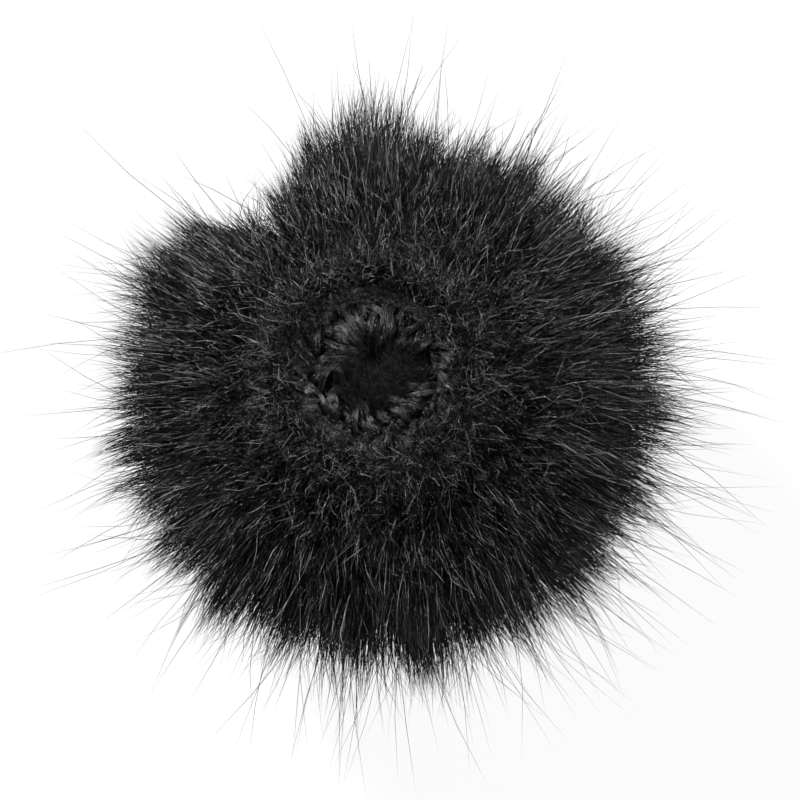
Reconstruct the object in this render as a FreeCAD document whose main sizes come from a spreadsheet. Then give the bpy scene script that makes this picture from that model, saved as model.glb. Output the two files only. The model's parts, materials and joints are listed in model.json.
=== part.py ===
import FreeCAD, Part
import os

import Sketcher

# Furry windscreen for a lapel microphone: a sewn ball of long-pile fabric round a foam core.
# A tube of pile fabric is closed by one side seam, drawn together at the crown by a thread, and
# rolled in at the mouth round a thin elastic. The microphone is pushed through the mouth into
# the blind bore of the foam.
#
# Frame: millimetres, +Z up along the bore and out of the mouth. The origin is the middle of the
# mouth, level with the top of the rolled hem. The ball rests on its squashed crown, below.
# Azimuths are in degrees about +Z from +X.

SIZES = (
    ("mic_bore_diameter", 5.0, "microphone bore, in the fuzz and in the foam"),
    ("pile_diameter", 32.0, "across the combed guard hair"),
    ("pile_sag", 0.5, "middle of the hair ball below the middle of the cover"),
    ("pile_squash", 0.5, "taken off the underside where the ball rests"),
    ("underside_rounding", 4.0, "where the hair curls under the ball"),
    ("funnel_margin", 0.3, "hair starts this far outside the middle of the rolled hem"),
    ("funnel_half_angle", 28.0, "slope of the hair round the mouth, from the axis"),
    ("lip_rounding", 1.2, "soft lip of the funnel"),
    ("parting_depth", 3.0, "hair parts along the side seam"),
    ("parting_width", 3.6, "at the tips of the hair"),
    ("clump_depth", 1.3, "between two clumps of locks"),
    ("clump_width", 2.4, "at the tips of the hair"),
    ("underfur_diameter", 25.0, "across the underfur"),
    ("underfur_raise", 3.2, "underside of the underfur above the underside of the ball"),
    ("underfur_margin", 0.35, "underfur starts this far outside the rolled hem"),
    ("layer_gap", 0.05, "between two soft layers"),
    ("cover_diameter", 18.0, "outside of the knit backing"),
    ("cover_thickness", 0.6, "knit backing, one layer"),
    ("roll_inset", 0.1, "middle of the roll below the outside of the backing"),
    ("elastic_diameter", 0.7, "cord elastic in the mouth"),
    ("channel_clearance", 0.15, "round the elastic in the roll"),
    ("flap_reach", 2.1, "turned-in flap, outside the middle of the roll"),
    ("fuzz_thickness", 0.5, "cropped pile inside the mouth"),
    ("fuzz_overlap", 1.0, "fuzz reaches this far over and under the roll"),
    ("foam_clearance", 0.35, "foam to the inside of the flap"),
    ("foam_squash", 0.8, "taken off the foam's underside, over the crown gather"),
    ("foam_tip", 2.6, "foam left under the blind end of the bore"),
    ("thread_diameter", 0.24, "sewing thread"),
    ("thread_gap", 0.02, "between thread and fabric"),
    ("seam_azimuth", 124.0, "side seam and its parting"),
    ("seam_gap", 0.1, "between the two allowances"),
    ("allowance_width", 1.9, "each side of the seam"),
    ("allowance_flap_gap", 0.69, "top end below the turned-in flap"),
    ("seam_stitch_length", 1.5, "across the seam"),
    ("seam_stitch_count", 14, ""),
    ("seam_stitch_margin", 0.5, "first and last stitch inside the ends of the allowances"),
    ("hem_stitch_count", 18, ""),
    ("hem_stitch_sweep", 12.0, "one running stitch"),
    ("hem_stitch_reach", 0.9, "ring of stitches outside the middle of the roll"),
    ("knot_azimuth", 304.0, "elastic knot, opposite the side seam"),
    ("knot_sweep", 14.0, "gap in the elastic that the knot fills"),
    ("knot_core", 0.6, "diameter of the two ends together"),
    ("knot_cord", 0.3, "one wrap"),
    ("knot_pitch", 0.28, "wrap to wrap"),
    ("neck_radius", 0.75, "gathered fabric where the thread ties it"),
    ("pleat_length", 2.4, "axis to the end of a pleat"),
    ("pleat_width", 0.45, ""),
    ("pleat_height", 0.7, ""),
    ("pleat_count", 11, ""),
    ("pleat_foam_gap", 0.1, "pleats below the foam"),
    ("tail_length", 1.1, "each thread tail at the crown"),
    ("tail_spread", 28.0, "each tail from the radial line"),
    ("tuft_base", 0.5, "diameter"),
    ("tuft_tip", 0.22, "diameter"),
    ("tuft_length", 1.3, ""),
    ("tuft_lift", 0.2, "bases above the rim"),
    ("inner_tuft_inset", 0.85, "inside the middle of the roll"),
    ("inner_tuft_lean", 14.0, "from the axis"),
    ("inner_tuft_count", 17, ""),
    ("outer_tuft_inset", 0.1, "inside the middle of the roll"),
    ("outer_tuft_lean", 34.0, "from the axis"),
    ("outer_tuft_count", 21, ""),
)

# Azimuth of each small parting between two clumps of guard hair.
CLUMP_AZIMUTHS = (30, 78, 163, 204, 236, 284, 326)

# A parting runs from under the ball, over its side and up to the lip of the funnel.
PARTING_START = -62
PARTING_SWEEP = 106

X_AXIS = FreeCAD.Vector(1, 0, 0)
Y_AXIS = FreeCAD.Vector(0, 1, 0)
Z_AXIS = FreeCAD.Vector(0, 0, 1)

doc = FreeCAD.newDocument("FurryWindscreen")
sheet = doc.addObject("Spreadsheet::Sheet", "Sizes")
for row, (alias, value, note) in enumerate(SIZES, start=1):
    sheet.set("A%d" % row, note)
    sheet.set("B%d" % row, str(value))
    sheet.setAlias("B%d" % row, alias)
doc.recompute()

# Sizes that follow from the sheet, as expressions that the features are bound to.
BORE_RADIUS = "Sizes.mic_bore_diameter / 2"
CHANNEL_RADIUS = "(Sizes.elastic_diameter / 2 + Sizes.channel_clearance)"
ROLL_RADIUS = "(%s + Sizes.cover_thickness)" % CHANNEL_RADIUS
ROLL_RING = "(%s + Sizes.fuzz_thickness + %s)" % (BORE_RADIUS, ROLL_RADIUS)
COVER_RADIUS = "(Sizes.cover_diameter / 2)"
COVER_INSIDE = "(%s - Sizes.cover_thickness)" % COVER_RADIUS
COVER_CENTRE = "(%s + sqrt((%s - Sizes.roll_inset)^2 - %s^2))" % (ROLL_RADIUS, COVER_RADIUS, ROLL_RING)
FLAP_OUTSIDE = "(%s - Sizes.layer_gap)" % COVER_INSIDE
FLAP_INSIDE = "(%s - Sizes.cover_thickness)" % FLAP_OUTSIDE
FOAM_RADIUS = "(%s - Sizes.foam_clearance)" % FLAP_INSIDE
FOAM_SEAT = "(%s + %s - Sizes.foam_squash)" % (COVER_CENTRE, FOAM_RADIUS)
BORE_DEPTH = "(%s - Sizes.foam_tip)" % FOAM_SEAT
FLAP_REACH = "(%s + Sizes.flap_reach)" % ROLL_RING
FLAP_EDGE = "sqrt(%s^2 - %s^2)" % (FLAP_OUTSIDE, FLAP_REACH)
HEM_STITCH_RING = "(%s + Sizes.hem_stitch_reach)" % ROLL_RING
PILE_RADIUS = "(Sizes.pile_diameter / 2)"
PILE_CENTRE = "(%s + Sizes.pile_sag)" % COVER_CENTRE
REST_DEPTH = "(%s + %s - Sizes.pile_squash)" % (PILE_CENTRE, PILE_RADIUS)
GUARD_OPENING = "(%s + Sizes.funnel_margin)" % ROLL_RING
UNDERFUR_OPENING = "(%s + %s + Sizes.underfur_margin)" % (ROLL_RING, ROLL_RADIUS)
THREAD_RADIUS = "(Sizes.thread_diameter / 2)"
STITCH_RADIUS = "(%s - Sizes.thread_gap - %s)" % (FLAP_INSIDE, THREAD_RADIUS)
PLEAT_TOP = "(%s + Sizes.pleat_foam_gap)" % FOAM_SEAT
PLEAT_BOTTOM = "(%s + Sizes.pleat_height)" % PLEAT_TOP
THREAD_LEVEL = "(%s + 1.7 * Sizes.thread_diameter)" % PLEAT_BOTTOM
ALLOWANCE_RISE = "(%s - Sizes.allowance_flap_gap)" % FLAP_EDGE
ALLOWANCE_DROP = "(%s - %s)" % (PLEAT_TOP, COVER_CENTRE)
CROWN = "(%s + %s)" % (COVER_CENTRE, COVER_RADIUS)
NECK_TURN = "(Sizes.neck_radius + Sizes.thread_gap + %s)" % THREAD_RADIUS

nodes = []


def new_body(name):
    """An empty body that its features are added to."""
    body = doc.addObject("PartDesign::Body", name)
    body.Label = name
    return body


def keep(piece, name):
    """Give a finished sub-part the label that names its file."""
    piece.Label = name
    nodes.append(piece)
    return piece


def primitive(body, kind, name, **sizes):
    """A solid added to or cut from a body, each size bound to an expression."""
    feature = body.newObject("PartDesign::" + kind, name)
    bind(feature, sizes)
    return feature


def solid(kind, name, **sizes):
    """A plain solid outside any body, for booleans between pieces."""
    shape = doc.addObject("Part::" + kind, name)
    bind(shape, sizes)
    return shape


def bind(item, sizes):
    """Bind each size; height_z is the level of the feature's own origin."""
    for prop, expression in sizes.items():
        path = "Placement.Base.z" if prop == "height_z" else prop
        item.setExpression(path, expression)


def origin_item(body, role):
    """One of the planes or axes of a body."""
    for item in body.Origin.OriginFeatures:
        if item.Role == role:
            return item
    raise ValueError("no origin item " + role)


def sketch_on(body, role, name):
    """A sketch on one of the body's own origin planes."""
    sketch = body.newObject("Sketcher::SketchObject", name)
    sketch.AttachmentSupport = [(origin_item(body, role), "")]
    sketch.MapMode = "FlatFace"
    return sketch


def polar_pattern(body, feature, count, axis="Z_Axis", sweep="360"):
    """Repeat a feature round an axis of the body."""
    doc.recompute()
    pattern = body.newObject("PartDesign::PolarPattern", feature.Name + "Pattern")
    pattern.Originals = [feature]
    pattern.Axis = (origin_item(body, axis), [""])
    pattern.setExpression("Angle", sweep)
    pattern.setExpression("Occurrences", count)
    body.Tip = pattern
    doc.recompute()
    return pattern


# ---- Foam core -------------------------------------------------------------------------------
# Open-cell foam ball, turned, with a flat seat over the crown gather and a blind bore.

def foam_core():
    body = new_body("foam_core")
    radius = 7.4
    centre = -9.0
    seat = -15.6
    seat_edge = (radius ** 2 - (seat - centre) ** 2) ** 0.5
    circle = Part.Circle(FreeCAD.Vector(0, centre, 0), Z_AXIS, radius)
    start = circle.parameter(FreeCAD.Vector(seat_edge, seat, 0))
    top = circle.parameter(FreeCAD.Vector(0, centre + radius, 0))

    half = sketch_on(body, "XZ_Plane", "HalfSection")
    arc = half.addGeometry(Part.ArcOfCircle(circle, start, top))
    edge = FreeCAD.Vector(seat_edge, seat, 0)
    foot = FreeCAD.Vector(0, seat, 0)
    crest = FreeCAD.Vector(0, centre + radius, 0)
    flat = half.addGeometry(Part.LineSegment(foot, edge))
    axis = half.addGeometry(Part.LineSegment(crest, foot))
    half.addConstraint(Sketcher.Constraint("Coincident", flat, 2, arc, 1))
    half.addConstraint(Sketcher.Constraint("Coincident", arc, 2, axis, 1))
    half.addConstraint(Sketcher.Constraint("Coincident", axis, 2, flat, 1))
    half.addConstraint(Sketcher.Constraint("Horizontal", flat))
    half.addConstraint(Sketcher.Constraint("PointOnObject", axis, 1, -2))
    half.addConstraint(Sketcher.Constraint("PointOnObject", axis, 2, -2))
    half.addConstraint(Sketcher.Constraint("PointOnObject", arc, 3, -2))
    drive(half, Sketcher.Constraint("Radius", arc, radius), "radius", FOAM_RADIUS)
    drive(half, Sketcher.Constraint("DistanceY", arc, 3, -1, 1, -centre), "centre", COVER_CENTRE)
    drive(half, Sketcher.Constraint("DistanceY", flat, 1, -1, 1, -seat), "seat", FOAM_SEAT)
    ball = body.newObject("PartDesign::Revolution", "Ball")
    ball.Profile = half
    ball.ReferenceAxis = (half, ["V_Axis"])
    ball.Angle = 360

    mouth = sketch_on(body, "XY_Plane", "BoreMouth")
    ring = mouth.addGeometry(Part.Circle(FreeCAD.Vector(0, 0, 0), Z_AXIS, 2.5))
    mouth.addConstraint(Sketcher.Constraint("Coincident", ring, 3, -1, 1))
    drive(mouth, Sketcher.Constraint("Radius", ring, 2.5), "bore", BORE_RADIUS)
    doc.recompute()
    before = ball.Shape.Volume
    bore = body.newObject("PartDesign::Pocket", "Bore")
    bore.Profile = mouth
    bore.setExpression("Length", BORE_DEPTH)
    doc.recompute()
    assert bore.Shape.Volume < before, "the bore cuts nothing"
    keep(body, "foam_core")


def drive(sketch, constraint, name, expression):
    """Add a dimension to a sketch, name it and bind it."""
    index = sketch.addConstraint(constraint)
    sketch.renameConstraint(index, name)
    sketch.setExpression("Constraints." + name, expression)


# ---- Knit cover ------------------------------------------------------------------------------
# The ground fabric of the pile, closed to a ball. It ends at the rolled hem, above, and at the
# neck of the crown gather, below.

def knit_backing():
    body = new_body("knit_backing")
    centre = "-" + COVER_CENTRE
    primitive(body, "AdditiveSphere", "Outside", Radius=COVER_RADIUS, height_z=centre)
    primitive(body, "SubtractiveSphere", "Inside", Radius=COVER_INSIDE, height_z=centre)
    primitive(body, "SubtractiveCylinder", "MouthOpening", Radius=ROLL_RING,
              Height="Sizes.cover_diameter", height_z="-" + COVER_RADIUS)
    primitive(body, "SubtractiveTorus", "RollSeat", Radius1=ROLL_RING,
              Radius2=ROLL_RADIUS + " + Sizes.thread_gap", height_z="-" + ROLL_RADIUS)
    primitive(body, "SubtractiveCylinder", "CrownHole", Radius="Sizes.neck_radius + Sizes.thread_gap",
              Height="4 * Sizes.cover_thickness", height_z="-%s - Sizes.cover_thickness" % CROWN)
    keep(body, "knit_backing")


# ---- Side seam -------------------------------------------------------------------------------
# The two cut edges of the tube lie pressed open inside the cover, held by a row of stitches
# that cross from one to the other.

def turn_about_axis(azimuth):
    return FreeCAD.Rotation(Z_AXIS, azimuth)


def side_seam_allowance(side, name):
    shell = new_body(name + "_layer")
    centre = "-" + COVER_CENTRE
    primitive(shell, "AdditiveSphere", "Outside", Radius=FLAP_OUTSIDE, height_z=centre)
    primitive(shell, "SubtractiveSphere", "Inside", Radius=FLAP_INSIDE, height_z=centre)
    strip = solid("Box", name + "_strip", Length=COVER_RADIUS, Width="Sizes.allowance_width",
                  Height="%s + %s" % (ALLOWANCE_RISE, ALLOWANCE_DROP))
    offset = sheet.seam_gap / 2 if side > 0 else -sheet.seam_gap / 2 - sheet.allowance_width
    turn = turn_about_axis(sheet.seam_azimuth)
    strip.Placement = FreeCAD.Placement(turn.multVec(FreeCAD.Vector(0, offset, 0)), turn)
    strip.setExpression("Placement.Base.z", "-" + PLEAT_TOP)
    allowance = doc.addObject("Part::Common", name)
    allowance.Base = shell
    allowance.Tool = strip
    keep(allowance, name)


def side_seam_stitches():
    body = new_body("side_seam_stitches")
    ring = "sqrt(%s^2 - (Sizes.seam_stitch_length / 2)^2)" % STITCH_RADIUS
    rise = "(%s - Sizes.seam_stitch_margin)" % ALLOWANCE_RISE
    drop = "(%s - Sizes.seam_stitch_margin)" % ALLOWANCE_DROP
    stitch = primitive(body, "AdditiveCylinder", "Stitch", Radius=THREAD_RADIUS,
                       Height="Sizes.seam_stitch_length", height_z=rise)
    stitch.Placement.Rotation = FreeCAD.Rotation(X_AXIS, -90)
    stitch.setExpression("Placement.Base.x", "sqrt(%s^2 - %s^2)" % (ring, rise))
    stitch.setExpression("Placement.Base.y", "-Sizes.seam_stitch_length / 2")
    sweep = "asin(%s / %s) + asin(%s / %s)" % (rise, ring, drop, ring)
    polar_pattern(body, stitch, "Sizes.seam_stitch_count", "Y_Axis", sweep)
    body.Placement.Rotation = turn_about_axis(sheet.seam_azimuth)
    body.setExpression("Placement.Base.z", "-" + COVER_CENTRE)
    keep(body, "side_seam_stitches")


# ---- Crown -----------------------------------------------------------------------------------
# The lower end of the tube is drawn together: pleats fan out inside, over the cover, above a
# neck that two turns of thread tie, with a knot and its two tails.

def crown_gather():
    body = new_body("crown_gather")
    neck = "(%s - %s)" % (CROWN, PLEAT_TOP)
    primitive(body, "AdditiveCylinder", "Neck", Radius="Sizes.neck_radius", Height=neck,
              height_z="-" + CROWN)
    pleat = primitive(body, "AdditiveBox", "Pleat", Length="Sizes.pleat_length",
                      Width="Sizes.pleat_width", Height="Sizes.pleat_height",
                      height_z="-" + PLEAT_BOTTOM)
    pleat.setExpression("Placement.Base.y", "-Sizes.pleat_width / 2")
    polar_pattern(body, pleat, "Sizes.pleat_count")
    keep(body, "crown_gather")


def crown_gather_thread():
    body = new_body("crown_gather_thread")
    primitive(body, "AdditiveTorus", "LowerTurn", Radius1=NECK_TURN, Radius2=THREAD_RADIUS,
              height_z="-%s - 0.46 * Sizes.thread_diameter" % THREAD_LEVEL)
    primitive(body, "AdditiveTorus", "UpperTurn", Radius1=NECK_TURN, Radius2=THREAD_RADIUS,
              height_z="-%s + 0.46 * Sizes.thread_diameter" % THREAD_LEVEL)
    keep(body, "crown_gather_thread")


def crown_thread_knot():
    body = new_body("crown_thread_knot")
    level = "-" + THREAD_LEVEL
    reach = NECK_TURN + " + Sizes.thread_gap + 1.6 * Sizes.thread_diameter"
    knot = primitive(body, "AdditiveSphere", "Knot", Radius="1.1 * Sizes.thread_diameter",
                     height_z=level)
    knot.setExpression("Placement.Base.x", reach)
    for name, sign in (("LeftTail", 1), ("RightTail", -1)):
        tail = primitive(body, "AdditiveCylinder", name, Radius=THREAD_RADIUS,
                         Height="Sizes.tail_length", height_z=level)
        lay = FreeCAD.Rotation(Z_AXIS, sign * sheet.tail_spread) * FreeCAD.Rotation(Y_AXIS, 90)
        tail.Placement.Rotation = lay
        tail.setExpression("Placement.Base.x", reach)
    body.Placement.Rotation = turn_about_axis(sheet.knot_azimuth)
    keep(body, "crown_thread_knot")


# ---- Mouth -----------------------------------------------------------------------------------
# The edge of the tube rolls in round the elastic; its flap lies inside the cover and is held
# by running stitches. The pile on the roll and on the flap is cropped short.

def mouth_hem():
    body = new_body("mouth_hem")
    centre = "-" + COVER_CENTRE
    flap = primitive(body, "AdditiveSphere", "FlapOutside", Radius=FLAP_OUTSIDE, height_z=centre)
    flap.setExpression("Angle1", "acos(%s / %s)" % (FLAP_REACH, FLAP_OUTSIDE))
    primitive(body, "SubtractiveSphere", "FlapInside", Radius=FLAP_INSIDE, height_z=centre)
    primitive(body, "SubtractiveCylinder", "Throat", Radius=ROLL_RING, Height=COVER_RADIUS,
              height_z="-" + COVER_RADIUS)
    primitive(body, "AdditiveTorus", "Roll", Radius1=ROLL_RING, Radius2=ROLL_RADIUS,
              height_z="-" + ROLL_RADIUS)
    primitive(body, "SubtractiveTorus", "Channel", Radius1=ROLL_RING, Radius2=CHANNEL_RADIUS,
              height_z="-" + ROLL_RADIUS)
    keep(body, "mouth_hem")


def hem_stitches():
    body = new_body("hem_stitches")
    level = "sqrt(%s^2 - %s^2) - %s" % (STITCH_RADIUS, HEM_STITCH_RING, COVER_CENTRE)
    stitch = primitive(body, "AdditiveTorus", "Stitch", Radius1=HEM_STITCH_RING,
                       Radius2=THREAD_RADIUS, Angle3="Sizes.hem_stitch_sweep", height_z=level)
    polar_pattern(body, stitch, "Sizes.hem_stitch_count")
    keep(body, "hem_stitches")


def mouth_elastic():
    body = new_body("mouth_elastic")
    cord = primitive(body, "AdditiveTorus", "Cord", Radius1=ROLL_RING,
                     Radius2="Sizes.elastic_diameter / 2", Angle3="360 - Sizes.knot_sweep",
                     height_z="-" + ROLL_RADIUS)
    cord.Placement.Rotation = turn_about_axis(sheet.knot_sweep / 2)
    body.Placement.Rotation = turn_about_axis(sheet.knot_azimuth)
    keep(body, "mouth_elastic")


def elastic_knot():
    body = new_body("elastic_knot")
    length = "(1.8 * (%s - Sizes.knot_core / 2) * tan(Sizes.knot_sweep * 0.5deg))" % ROLL_RING
    along = FreeCAD.Rotation(X_AXIS, -90)
    core = primitive(body, "AdditiveCylinder", "TwoEnds", Radius="Sizes.knot_core / 2",
                     Height=length, height_z="-" + ROLL_RADIUS)
    core.Placement.Rotation = along
    core.setExpression("Placement.Base.x", ROLL_RING)
    core.setExpression("Placement.Base.y", "-%s / 2" % length)
    for turn in (-1, 0, 1):
        wrap = primitive(body, "AdditiveTorus", "Wrap", Radius1="Sizes.knot_core / 2",
                         Radius2="Sizes.knot_cord / 2", height_z="-" + ROLL_RADIUS)
        wrap.Placement.Rotation = along
        wrap.setExpression("Placement.Base.x", ROLL_RING)
        wrap.setExpression("Placement.Base.y", "%d * Sizes.knot_pitch" % turn)
    body.Placement.Rotation = turn_about_axis(sheet.knot_azimuth)
    keep(body, "elastic_knot")


def throat_fuzz():
    body = new_body("throat_fuzz")
    reach = "(%s - %s + Sizes.fuzz_overlap)" % (ROLL_RING, ROLL_RADIUS)
    depth = "(%s + Sizes.fuzz_overlap + Sizes.fuzz_thickness)" % ROLL_RADIUS
    primitive(body, "AdditiveCylinder", "Lining", Radius=reach, Height=depth, height_z="-" + depth)
    primitive(body, "SubtractiveTorus", "RollSeat", Radius1=ROLL_RING,
              Radius2=ROLL_RADIUS + " + Sizes.layer_gap", height_z="-" + ROLL_RADIUS)
    primitive(body, "SubtractiveSphere", "FoamSeat", Radius=FOAM_RADIUS + " + Sizes.layer_gap",
              height_z="-" + COVER_CENTRE)
    primitive(body, "SubtractiveCylinder", "Bore", Radius=BORE_RADIUS, Height=depth,
              height_z="-" + depth)
    keep(body, "throat_fuzz")


def mouth_tufts():
    body = new_body("mouth_tufts")
    for ring in ("inner", "outer"):
        tuft = primitive(body, "AdditiveCone", ring.title() + "Tuft", Radius1="Sizes.tuft_base / 2",
                         Radius2="Sizes.tuft_tip / 2", Height="Sizes.tuft_length",
                         height_z="Sizes.tuft_lift")
        lean = sheet.getPropertyByName(ring + "_tuft_lean")
        tuft.Placement.Rotation = FreeCAD.Rotation(Y_AXIS, lean)
        tuft.setExpression("Placement.Base.x", "%s - Sizes.%s_tuft_inset" % (ROLL_RING, ring))
        polar_pattern(body, tuft, "Sizes.%s_tuft_count" % ring)
    keep(body, "mouth_tufts")


# ---- Pile ------------------------------------------------------------------------------------
# Hair stands on the cover all round, except in a funnel down to the mouth, and is squashed flat
# where the ball rests. The underfur is the short layer; the guard hair covers and outreaches it.

def pile_form(name, radius, opening, raised):
    """A ball of hair with its funnel and its flattened underside, not yet hollow."""
    body = new_body(name)
    primitive(body, "AdditiveSphere", "Hair", Radius=radius, height_z="-" + PILE_CENTRE)
    primitive(body, "SubtractiveCylinder", "Underside", Radius="Sizes.pile_diameter",
              Height="Sizes.pile_diameter",
              height_z="-%s - Sizes.pile_diameter + %s" % (REST_DEPTH, raised))
    primitive(body, "SubtractiveCylinder", "Throat", Radius=opening, Height="2 * " + ROLL_RADIUS,
              height_z="-2 * " + ROLL_RADIUS)
    flare = "%s * tan(Sizes.funnel_half_angle * 1deg)" % PILE_RADIUS
    primitive(body, "SubtractiveCone", "Funnel", Radius1=opening, Radius2=opening + " + " + flare,
              Height=PILE_RADIUS)
    return body


def round_edge(body, name, radius, picks):
    """Round the one circular edge of the body that picks() accepts."""
    doc.recompute()
    base = body.Tip
    found = []
    for index, edge in enumerate(base.Shape.Edges, start=1):
        if isinstance(edge.Curve, Part.Circle) and picks(edge.Curve):
            found.append("Edge%d" % index)
    assert len(found) == 1, "one edge expected for " + name
    fillet = body.newObject("PartDesign::Fillet", name)
    fillet.Base = (base, found)
    fillet.setExpression("Radius", radius)
    doc.recompute()


def parting(body, azimuth, depth, width, number):
    """A V-shaped valley along a meridian, where two clumps of hair lean apart."""
    valley = body.newObject("Sketcher::SketchObject", "Valley%d" % number)
    valley.AttachmentSupport = [(origin_item(body, "XY_Plane"), "")]
    valley.MapMode = "FlatFace"
    tilt = FreeCAD.Rotation(Y_AXIS, -PARTING_START)
    valley.AttachmentOffset = FreeCAD.Placement(FreeCAD.Vector(0, 0, 0),
                                                turn_about_axis(azimuth) * tilt)
    valley.setExpression("AttachmentOffset.Base.z", "-" + PILE_CENTRE)
    rim = 18.0
    corners = (FreeCAD.Vector(13, 0, 0), FreeCAD.Vector(rim, -2, 0), FreeCAD.Vector(rim, 2, 0))
    for index in range(3):
        valley.addGeometry(Part.LineSegment(corners[index], corners[(index + 1) % 3]))
    for index in range(3):
        valley.addConstraint(Sketcher.Constraint("Coincident", index, 2, (index + 1) % 3, 1))
    valley.addConstraint(Sketcher.Constraint("PointOnObject", 0, 1, -1))
    valley.addConstraint(Sketcher.Constraint("Symmetric", 1, 1, 1, 2, -1))
    drive(valley, Sketcher.Constraint("DistanceX", -1, 1, 0, 1, 13), "bottom",
          "%s - %s" % (PILE_RADIUS, depth))
    drive(valley, Sketcher.Constraint("DistanceX", -1, 1, 1, 1, rim), "reach",
          "%s + %s" % (PILE_RADIUS, depth))
    drive(valley, Sketcher.Constraint("DistanceY", 1, 1, 1, 2, 4), "spread", "2 * " + width)
    before = body.Tip.Shape.Volume
    groove = body.newObject("PartDesign::Groove", "Parting%d" % number)
    groove.Profile = valley
    groove.ReferenceAxis = (valley, ["V_Axis"])
    groove.Angle = PARTING_SWEEP
    groove.Reversed = True
    doc.recompute()
    assert groove.Shape.Volume < before, "a parting cuts nothing"


def room_for_cover():
    """What the hair leaves free: the cover and the rolled hem, each with a thin gap."""
    ball = solid("Sphere", "CoverRoom", Radius=COVER_RADIUS + " + Sizes.layer_gap",
                 height_z="-" + COVER_CENTRE)
    roll = solid("Torus", "RollRoom", Radius1=ROLL_RING, Radius2=ROLL_RADIUS + " + Sizes.layer_gap",
                 height_z="-" + ROLL_RADIUS)
    room = doc.addObject("Part::MultiFuse", "RoomForCover")
    room.Shapes = [ball, roll]
    return room


def pile():
    cover_room = room_for_cover()
    under_radius = "Sizes.underfur_diameter / 2"
    under = pile_form("UnderfurForm", under_radius, UNDERFUR_OPENING, "Sizes.underfur_raise")
    underfur = doc.addObject("Part::Cut", "underfur_pile")
    underfur.Base = under
    underfur.Tool = cover_room
    keep(underfur, "underfur_pile")

    grown = pile_form("UnderfurRoom", under_radius + " + Sizes.layer_gap",
                      UNDERFUR_OPENING + " - Sizes.layer_gap",
                      "Sizes.underfur_raise - Sizes.layer_gap")
    guard = pile_form("GuardForm", PILE_RADIUS, GUARD_OPENING, "0")
    round_edge(guard, "UndersideRounding", "Sizes.underside_rounding",
               lambda ring: ring.Center.z < -sheet.pile_diameter / 2)
    round_edge(guard, "LipRounding", "Sizes.lip_rounding", lambda ring: ring.Center.z > 1)
    parting(guard, sheet.seam_azimuth, "Sizes.parting_depth", "Sizes.parting_width", 1)
    for number, azimuth in enumerate(CLUMP_AZIMUTHS, start=2):
        parting(guard, azimuth, "Sizes.clump_depth", "Sizes.clump_width", number)
    rooms = doc.addObject("Part::MultiFuse", "RoomForUnderfur")
    rooms.Shapes = [grown, cover_room]
    guard_hair = doc.addObject("Part::Cut", "guard_hair_pile")
    guard_hair.Base = guard
    guard_hair.Tool = rooms
    keep(guard_hair, "guard_hair_pile")


# ---- Assembly --------------------------------------------------------------------------------

foam_core()
knit_backing()
side_seam_allowance(1, "side_seam_allowance_left")
side_seam_allowance(-1, "side_seam_allowance_right")
side_seam_stitches()
crown_gather()
crown_gather_thread()
crown_thread_knot()
mouth_hem()
hem_stitches()
mouth_elastic()
elastic_knot()
throat_fuzz()
mouth_tufts()
pile()

doc.recompute()
for item in doc.Objects:
    if "Invalid" in item.State or "Error" in item.State:
        raise RuntimeError("%s failed: %s" % (item.Name, item.State))
for piece in nodes:
    if piece.Shape.isNull() or not piece.Shape.isValid():
        raise RuntimeError("%s has no valid shape" % piece.Label)

os.makedirs("parts", exist_ok=True)
for piece in nodes:
    piece.Shape.exportStep("parts/%s.step" % piece.Label)
    print("%-28s %2d solid(s) %10.3f mm3" % (piece.Label, len(piece.Shape.Solids), piece.Shape.Volume))
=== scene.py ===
import json
import math

import bpy
import numpy as np
from mathutils import Matrix, Vector, kdtree


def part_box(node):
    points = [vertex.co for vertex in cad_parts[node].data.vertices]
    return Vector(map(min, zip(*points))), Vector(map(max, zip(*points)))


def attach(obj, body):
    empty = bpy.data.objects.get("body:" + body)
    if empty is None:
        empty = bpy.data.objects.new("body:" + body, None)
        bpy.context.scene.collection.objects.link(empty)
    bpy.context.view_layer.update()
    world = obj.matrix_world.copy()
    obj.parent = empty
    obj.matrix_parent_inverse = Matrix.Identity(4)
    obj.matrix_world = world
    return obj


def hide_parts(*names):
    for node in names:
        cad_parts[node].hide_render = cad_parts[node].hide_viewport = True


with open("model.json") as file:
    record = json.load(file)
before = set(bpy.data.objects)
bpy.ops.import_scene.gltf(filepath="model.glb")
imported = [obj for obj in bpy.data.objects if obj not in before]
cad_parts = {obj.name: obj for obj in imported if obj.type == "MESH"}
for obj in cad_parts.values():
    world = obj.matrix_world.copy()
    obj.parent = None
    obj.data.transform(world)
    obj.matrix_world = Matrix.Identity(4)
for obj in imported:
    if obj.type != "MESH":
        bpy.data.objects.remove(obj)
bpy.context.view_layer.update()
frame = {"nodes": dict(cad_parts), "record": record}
bpy.ops.object.select_all(action="DESELECT")

MM = 0.001

# Foam core. A ball of open-cell foam, ground round and flat underneath, with a blind bore that
# grips the capsule. Its whole skin is open cells.
foam_low, foam_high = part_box("foam_core")
foam_radius = (foam_high.x - foam_low.x) / 2
cover_low, cover_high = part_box("knit_backing")
cover_radius = (cover_high.x - cover_low.x) / 2
cover_middle = cover_low.z + cover_radius
bore = frame["record"]["mounts"][0]["dims"]
bore_radius, bore_depth = bore["r_mm"] * MM, bore["length_mm"] * MM
bpy.ops.mesh.primitive_uv_sphere_add(
    segments=96, ring_count=64, radius=foam_radius, location=(0, 0, cover_middle)
)
foam = bpy.context.object
foam.name = "foam_ball"
bpy.ops.object.transform_apply(location=True)
bpy.ops.object.mode_set(mode="EDIT")
bpy.ops.mesh.select_all(action="SELECT")
bpy.ops.mesh.bisect(
    plane_co=(0, 0, foam_low.z), plane_no=(0, 0, -1), use_fill=True, clear_outer=True
)
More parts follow.
